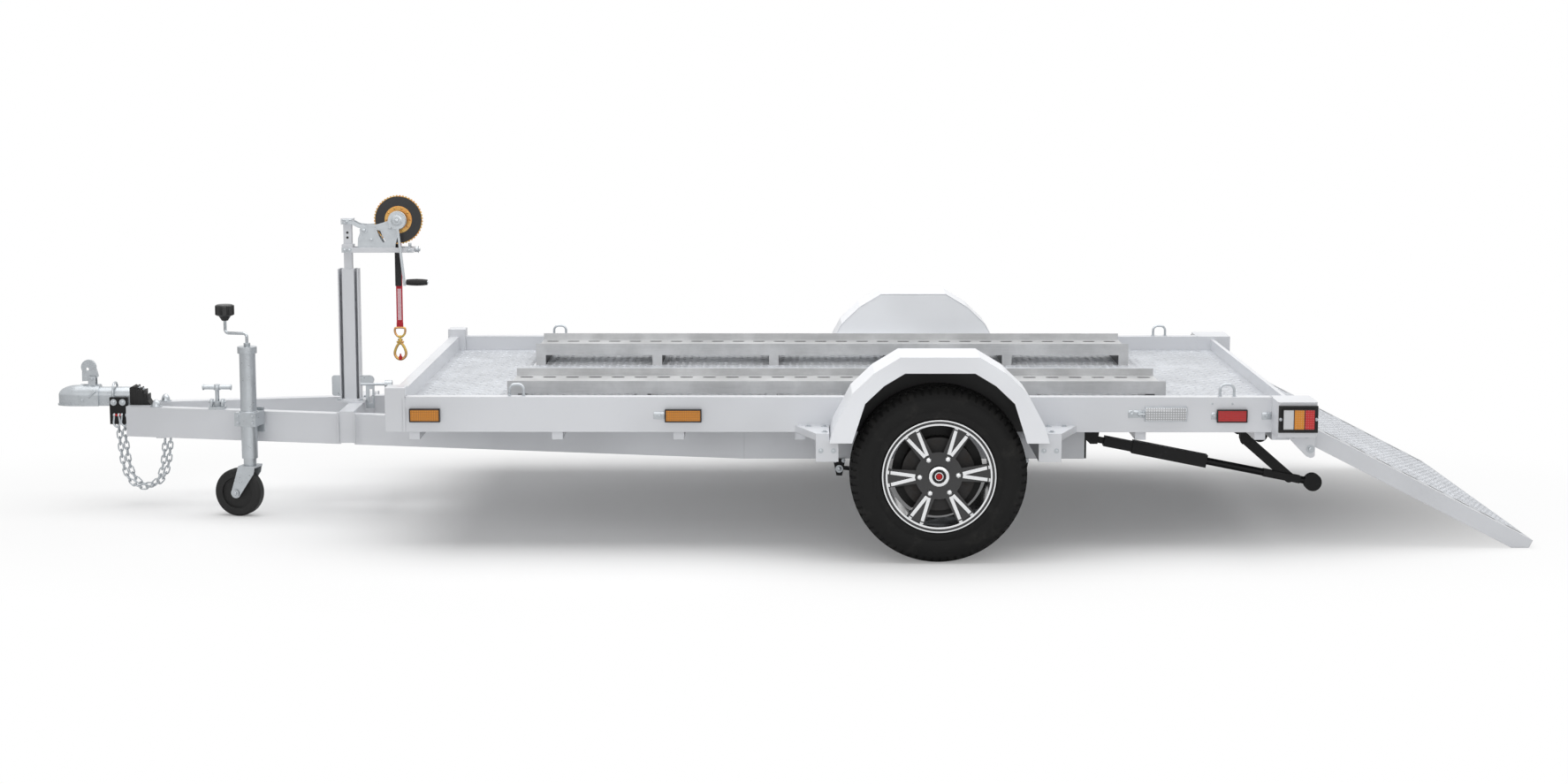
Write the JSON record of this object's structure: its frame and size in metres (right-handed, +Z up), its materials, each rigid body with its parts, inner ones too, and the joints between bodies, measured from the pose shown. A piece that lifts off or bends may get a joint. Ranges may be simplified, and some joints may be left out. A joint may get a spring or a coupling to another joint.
{
  "type": "car trailer",
  "caption": "Flatbed car trailer with side rails, raised wheel tracks, pressed mudguards, A-frame drawbar, jockey wheel, winch post and a fold-down rear ramp.",
  "frame": {"origin": "middle of the whole trailer in plan, on the level ground it stands on", "axes": "+X to the rear, +Z up, -Y to the trailer's left side, which the picture shows"},
  "size_m": [5.728, 2.46, 1.2549],
  "materials": {
    "frame_paint": "satin",
    "tread_plate": "bright",
    "track_metal": "mill",
    "zinc": "zinc plated",
    "gold_zinc": "yellow zinc plated",
    "black_steel": "satin",
    "alloy": "gloss with machined faces",
    "tyre": "matte",
    "rubber": "matte",
    "black_plastic": "matte",
    "amber_lens": "clear gloss",
    "clear_lens": "clear gloss",
    "red_lens": "clear gloss",
    "red_webbing": "woven"
  },
  "bodies": {
    "chassis": {"side_rails": "frame_paint", "front_posts": "frame_paint", "front_rail": "frame_paint", "lamp_boxes": "frame_paint", "deck_plate": "tread_plate", "cross_members": "frame_paint", "chassis_beams": "frame_paint", "drawbar_cross_tube": "frame_paint", "drawbar_beams": "frame_paint", "wheel_tracks": "track_metal", "mudguards": "frame_paint", "outriggers": "frame_paint", "axle_beam": "black_steel", "leaf_springs": "black_steel", "spring_hangers": "black_steel", "coupling_bracket": "black_steel", "coupling_body": "zinc", "coupling_boot": "rubber", "safety_chains": "zinc", "jockey_bracket": "zinc", "winch_post": "frame_paint", "ramp_hinges": "frame_paint", "leg_brackets": "zinc", "amber_reflectors": "amber_lens", "marker_lamps": "clear_lens", "red_reflectors": "red_lens", "tail_lamp_bezels": "black_plastic", "tail_lenses": "red_lens", "tie_rings": "zinc", "post_clamp": "zinc", "drawbar_clamp": "zinc"},
    "wheel_left": {"tyre_left": "tyre", "rim_left": "alloy", "hub_left": "black_steel"},
    "wheel_right": {"tyre_right": "tyre", "rim_right": "alloy", "hub_right": "black_steel"},
    "ramp": {"ramp_frame": "frame_paint", "ramp_plate": "tread_plate"},
    "jockey_leg": {"jockey_tube": "zinc"},
    "jockey_slider": {"jockey_inner_tube": "zinc"},
    "jockey_caster": {"jockey_fork": "zinc"},
    "jockey_roller": {"jockey_wheel": "rubber"},
    "jockey_handle": {"jockey_crank": "zinc"},
    "coupling_handle": {"coupling_lever": "zinc"},
    "mast": {"winch_mast": "frame_paint", "winch_arm": "frame_paint", "winch_frame": "zinc", "winch_strap": "red_webbing", "strap_ring": "gold_zinc", "strap_hook": "zinc"},
    "winch_rotor": {"winch_drum": "black_steel", "winch_crank": "black_steel", "winch_grip": "black_plastic"},
    "left_leg": {"leg_left": "black_steel"},
    "right_leg": {"leg_right": "black_steel"},
    "left_strut_tube": {"strut_outer_left": "black_steel"},
    "right_strut_tube": {"strut_outer_right": "black_steel"},
    "left_strut_rod": {"strut_inner_left": "black_steel"},
    "right_strut_rod": {"strut_inner_right": "black_steel"}
  },
  "joints": [
    {"name": "wheel_left_spin", "type": "hinge", "parent": "chassis", "child": "wheel_left", "pos_m": [0.63405, -1.112, 0.322], "axis": [0, 1, 0], "continuous": true},
    {"name": "wheel_right_spin", "type": "hinge", "parent": "chassis", "child": "wheel_right", "pos_m": [0.63405, 1.112, 0.322], "axis": [0, 1, 0], "continuous": true},
    {"name": "ramp_lift", "type": "hinge", "parent": "chassis", "child": "ramp", "pos_m": [1.96905, 0, 0.472], "axis": [0, -1, 0], "range_deg": [0, 115]},
    {"name": "jockey_swing", "type": "hinge", "parent": "chassis", "child": "jockey_leg", "pos_m": [-2.04095, -0.26, 0.39], "axis": [-0.2118, -0.9773, 0], "range_deg": [0, 90]},
    {"name": "jockey_lift", "type": "slide", "parent": "jockey_leg", "child": "jockey_slider", "axis": [0, 0, 1], "range_m": [-0.15, 0.022]},
    {"name": "jockey_caster_turn", "type": "hinge", "parent": "jockey_slider", "child": "jockey_caster", "pos_m": [-2.04095, -0.26, 0.204], "axis": [0, 0, 1], "continuous": true},
    {"name": "jockey_wheel_spin", "type": "hinge", "parent": "jockey_caster", "child": "jockey_roller", "pos_m": [-2.08689, -0.25005, 0.095], "axis": [0.2118, 0.9773, 0], "continuous": true},
    {"name": "jockey_crank_turn", "type": "hinge", "parent": "jockey_leg", "child": "jockey_handle", "pos_m": [-2.04095, -0.26, 0.65], "axis": [0, 0, 1], "continuous": true},
    {"name": "coupling_release", "type": "hinge", "parent": "chassis", "child": "coupling_handle", "pos_m": [-2.72095, 0, 0.514], "axis": [0, 1, 0], "range_deg": [0, 45]},
    {"name": "mast_slide", "type": "slide", "parent": "chassis", "child": "mast", "axis": [0, 0, 1], "range_m": [-0.06, 0.1]},
    {"name": "winch_turn", "type": "hinge", "parent": "mast", "child": "winch_rotor", "pos_m": [-1.47095, -0.0015, 1.157], "axis": [0, 1, 0], "continuous": true},
    {"name": "left_leg_drop", "type": "hinge", "parent": "chassis", "child": "left_leg", "pos_m": [1.83605, -0.595, 0.363], "axis": [0, 1, 0], "range_deg": [0, 48]},
    {"name": "left_strut_swing", "type": "hinge", "parent": "chassis", "child": "left_strut_tube", "pos_m": [1.25605, -0.595, 0.364], "axis": [0, 1, 0], "range_deg": [-1, 10.96]},
    {"name": "left_strut_slide", "type": "slide", "parent": "left_strut_tube", "child": "left_strut_rod", "axis": [0.9808, 0, -0.1949], "range_m": [-0.14354, 0.005]},
    {"name": "right_leg_drop", "type": "hinge", "parent": "chassis", "child": "right_leg", "pos_m": [1.83605, 0.595, 0.363], "axis": [0, 1, 0], "range_deg": [0, 48]},
    {"name": "right_strut_swing", "type": "hinge", "parent": "chassis", "child": "right_strut_tube", "pos_m": [1.25605, 0.595, 0.364], "axis": [0, 1, 0], "range_deg": [-1, 10.96]},
    {"name": "right_strut_slide", "type": "slide", "parent": "right_strut_tube", "child": "right_strut_rod", "axis": [0.9808, 0, -0.1949], "range_m": [-0.14354, 0.005]}
  ],
  "couplings": [
    {"joint": "left_strut_swing", "follows": "left_leg_drop", "ratio": 0.20746},
    {"joint": "left_strut_slide", "follows": "left_leg_drop", "m_per_rad": -0.16537},
    {"joint": "right_strut_swing", "follows": "right_leg_drop", "ratio": 0.20746},
    {"joint": "right_strut_slide", "follows": "right_leg_drop", "m_per_rad": -0.16537}
  ]
}
